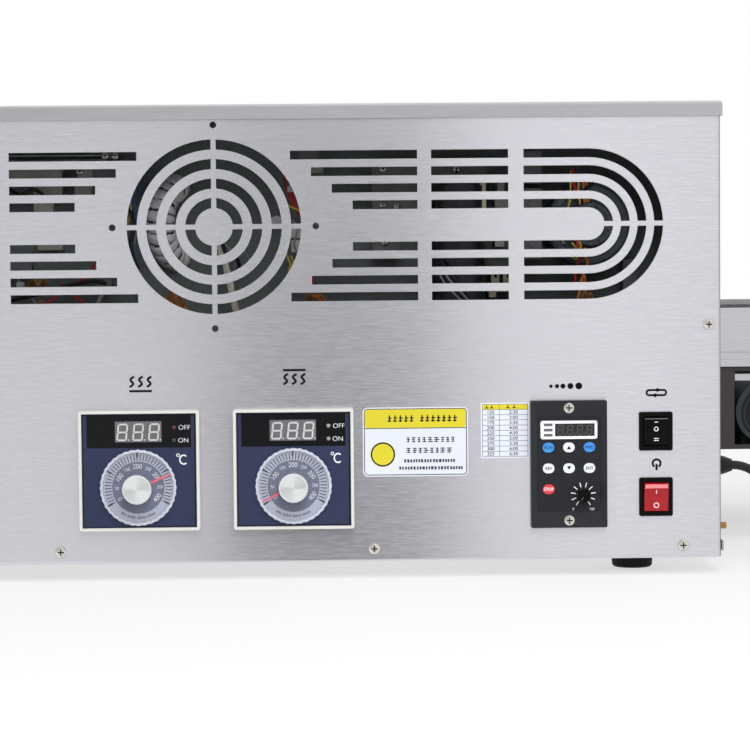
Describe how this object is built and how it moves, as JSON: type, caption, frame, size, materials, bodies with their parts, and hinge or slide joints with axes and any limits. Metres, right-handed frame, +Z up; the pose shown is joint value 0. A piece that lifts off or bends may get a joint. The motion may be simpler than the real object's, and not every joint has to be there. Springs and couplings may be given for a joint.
{
  "type": "reflow oven",
  "caption": "Benchtop reflow oven: brushed steel case with a vented control panel, dial heat controllers, a conveyor speed controller and a mesh belt through a heated tunnel.",
  "frame": {"origin": "middle of the footprint without the mains lead, on the floor", "axes": "X along the front panel and the conveyor, Y from the front panel to the back, Z up"},
  "size_m": [1.2385, 0.6502, 0.3805],
  "materials": {
    "brushed_stainless": "horizontal brushed stainless sheet",
    "satin_stainless": "satin stainless sheet",
    "screw_steel": "bright nickel plate",
    "zinc_sheet": "dull zinc-plated sheet",
    "chamber_steel": "heat-tinted steel sheet",
    "ceramic_wool": "ceramic fibre board",
    "heater_tube": "sheathed heater with ceramic ends",
    "motor_steel": "dark steel can with a bright nose",
    "impeller_aluminium": "pressed aluminium",
    "ivory_plastic": "fine matt moulding",
    "navy_face": "printed satin film",
    "dial": "spun aluminium cap on a clear ribbed skirt",
    "black_plastic": "fine matt moulding",
    "grey_membrane": "printed membrane",
    "black_knob": "ribbed moulding",
    "blue_key": "printed membrane",
    "white_key": "printed membrane",
    "red_key": "printed membrane",
    "black_rocker": "moulded, with white marks",
    "red_rocker": "clear red moulding",
    "rail_aluminium": "satin anodised extrusion",
    "belt_mesh": "woven stainless wire",
    "roller_steel": "turned steel",
    "bearing_steel": "turned steel",
    "motor_paint": "satin dark paint",
    "drive_rubber": "moulded rubber",
    "box_paint": "grey powder coat",
    "foot_rubber": "moulded rubber",
    "gland_nylon": "moulded nylon",
    "stud_brass": "plain brass",
    "cord_jacket": "smooth jacket",
    "plug_plastic": "moulded, with brass blades",
    "capacitor_case": "moulded case on a zinc bracket",
    "relay_case": "moulded case",
    "terminal_plastic": "moulded ceramic-look plastic",
    "duct_foil": "crumpled ribbed foil"
  },
  "bodies": {
    "oven": {"front_panel": "brushed_stainless", "screws": "screw_steel", "base_pan": "zinc_sheet", "left_end_panel": "satin_stainless", "right_end_panel": "satin_stainless", "top_cover": "satin_stainless", "rear_cover": "satin_stainless", "bulkhead": "zinc_sheet", "chamber_stand": "zinc_sheet", "lower_chamber": "chamber_steel", "upper_chamber": "chamber_steel", "lower_insulation": "ceramic_wool", "upper_insulation": "ceramic_wool", "lower_heaters": "heater_tube", "upper_heaters": "heater_tube", "thermocouples": "screw_steel", "fan_motors": "motor_steel", "bottom_heat_case": "ivory_plastic", "bottom_heat_face": "navy_face", "top_heat_case": "ivory_plastic", "top_heat_face": "navy_face", "speed_case": "black_plastic", "speed_face": "grey_membrane", "direction_switch": "black_plastic", "power_switch": "black_plastic", "near_rail": "rail_aluminium", "far_rail": "rail_aluminium", "cross_bars": "screw_steel", "mesh_belt": "belt_mesh", "bearings": "bearing_steel", "gear_motor": "motor_paint", "drive_belt": "drive_rubber", "drive_box": "box_paint", "feet": "foot_rubber", "cable_gland": "gland_nylon", "ground_stud": "stud_brass", "mains_cord": "cord_jacket", "cord_coil": "cord_jacket", "mains_plug": "plug_plastic", "capacitor": "capacitor_case", "relays": "relay_case", "terminal_blocks": "terminal_plastic", "foil_duct": "duct_foil"},
    "left_impeller": {"left_impeller": "impeller_aluminium"},
    "right_impeller": {"right_impeller": "impeller_aluminium"},
    "bottom_heat_dial": {"bottom_heat_dial": "dial"},
    "top_heat_dial": {"top_heat_dial": "dial"},
    "speed_knob": {"speed_knob": "black_knob"},
    "run_key": {"run_key": "blue_key"},
    "raise_key": {"raise_key": "white_key"},
    "forward_key": {"forward_key": "blue_key"},
    "reverse_key": {"reverse_key": "white_key"},
    "lower_key": {"lower_key": "white_key"},
    "enter_key": {"enter_key": "white_key"},
    "stop_key": {"stop_key": "red_key"},
    "direction_rocker": {"direction_rocker": "black_rocker"},
    "power_rocker": {"power_rocker": "red_rocker"},
    "drive_roller": {"drive_roller": "roller_steel"},
    "idler_roller": {"idler_roller": "roller_steel"},
    "motor_pulley": {"motor_pulley": "roller_steel"}
  },
  "joints": [
    {"name": "left_impeller_spin", "type": "hinge", "parent": "oven", "child": "left_impeller", "pos_m": [-0.307, -0.1111, 0.2832], "axis": [0, 1, 0], "continuous": true},
    {"name": "right_impeller_spin", "type": "hinge", "parent": "oven", "child": "right_impeller", "pos_m": [0.307, -0.1111, 0.2832], "axis": [0, 1, 0], "continuous": true},
    {"name": "bottom_heat_turn", "type": "hinge", "parent": "oven", "child": "bottom_heat_dial", "pos_m": [-0.0624, -0.3071, 0.0763], "axis": [0, -1, 0], "range_deg": [-50.2, 189.8]},
    {"name": "top_heat_turn", "type": "hinge", "parent": "oven", "child": "top_heat_dial", "pos_m": [0.0613, -0.3071, 0.0763], "axis": [0, -1, 0], "range_deg": [-234.5, 5.5]},
    {"name": "speed_turn", "type": "hinge", "parent": "oven", "child": "speed_knob", "pos_m": [0.2934, -0.3031, 0.0662], "axis": [0, -1, 0], "range_deg": [-291, 0]},
    {"name": "run_key_press", "type": "slide", "parent": "oven", "child": "run_key", "axis": [0, 1, 0], "range_m": [0, 0.0005], "stiffness_N_per_m": 300},
    {"name": "raise_key_press", "type": "slide", "parent": "oven", "child": "raise_key", "axis": [0, 1, 0], "range_m": [0, 0.0005], "stiffness_N_per_m": 300},
    {"name": "forward_key_press", "type": "slide", "parent": "oven", "child": "forward_key", "axis": [0, 1, 0], "range_m": [0, 0.0005], "stiffness_N_per_m": 300},
    {"name": "reverse_key_press", "type": "slide", "parent": "oven", "child": "reverse_key", "axis": [0, 1, 0], "range_m": [0, 0.0005], "stiffness_N_per_m": 300},
    {"name": "lower_key_press", "type": "slide", "parent": "oven", "child": "lower_key", "axis": [0, 1, 0], "range_m": [0, 0.0005], "stiffness_N_per_m": 300},
    {"name": "enter_key_press", "type": "slide", "parent": "oven", "child": "enter_key", "axis": [0, 1, 0], "range_m": [0, 0.0005], "stiffness_N_per_m": 300},
    {"name": "stop_key_press", "type": "slide", "parent": "oven", "child": "stop_key", "axis": [0, 1, 0], "range_m": [0, 0.0005], "stiffness_N_per_m": 300},
    {"name": "direction_rock", "type": "hinge", "parent": "oven", "child": "direction_rocker", "pos_m": [0.3522, -0.2977, 0.1165], "axis": [1, 0, 0], "range_deg": [-10, 10]},
    {"name": "power_rock", "type": "hinge", "parent": "oven", "child": "power_rocker", "pos_m": [0.3522, -0.2977, 0.0637], "axis": [-1, 0, 0], "range_deg": [0, 20]},
    {"name": "drive_roller_spin", "type": "hinge", "parent": "oven", "child": "drive_roller", "pos_m": [0.583, 0.0809, 0.1836], "axis": [0, 1, 0], "continuous": true},
    {"name": "idler_roller_spin", "type": "hinge", "parent": "oven", "child": "idler_roller", "pos_m": [-0.583, 0.0809, 0.1836], "axis": [0, 1, 0], "continuous": true},
    {"name": "motor_pulley_spin", "type": "hinge", "parent": "oven", "child": "motor_pulley", "pos_m": [0.4786, 0.2349, 0.117], "axis": [0, 1, 0], "continuous": true}
  ],
  "couplings": [
    {"joint": "idler_roller_spin", "follows": "drive_roller_spin", "ratio": 1},
    {"joint": "motor_pulley_spin", "follows": "drive_roller_spin", "ratio": 1}
  ]
}
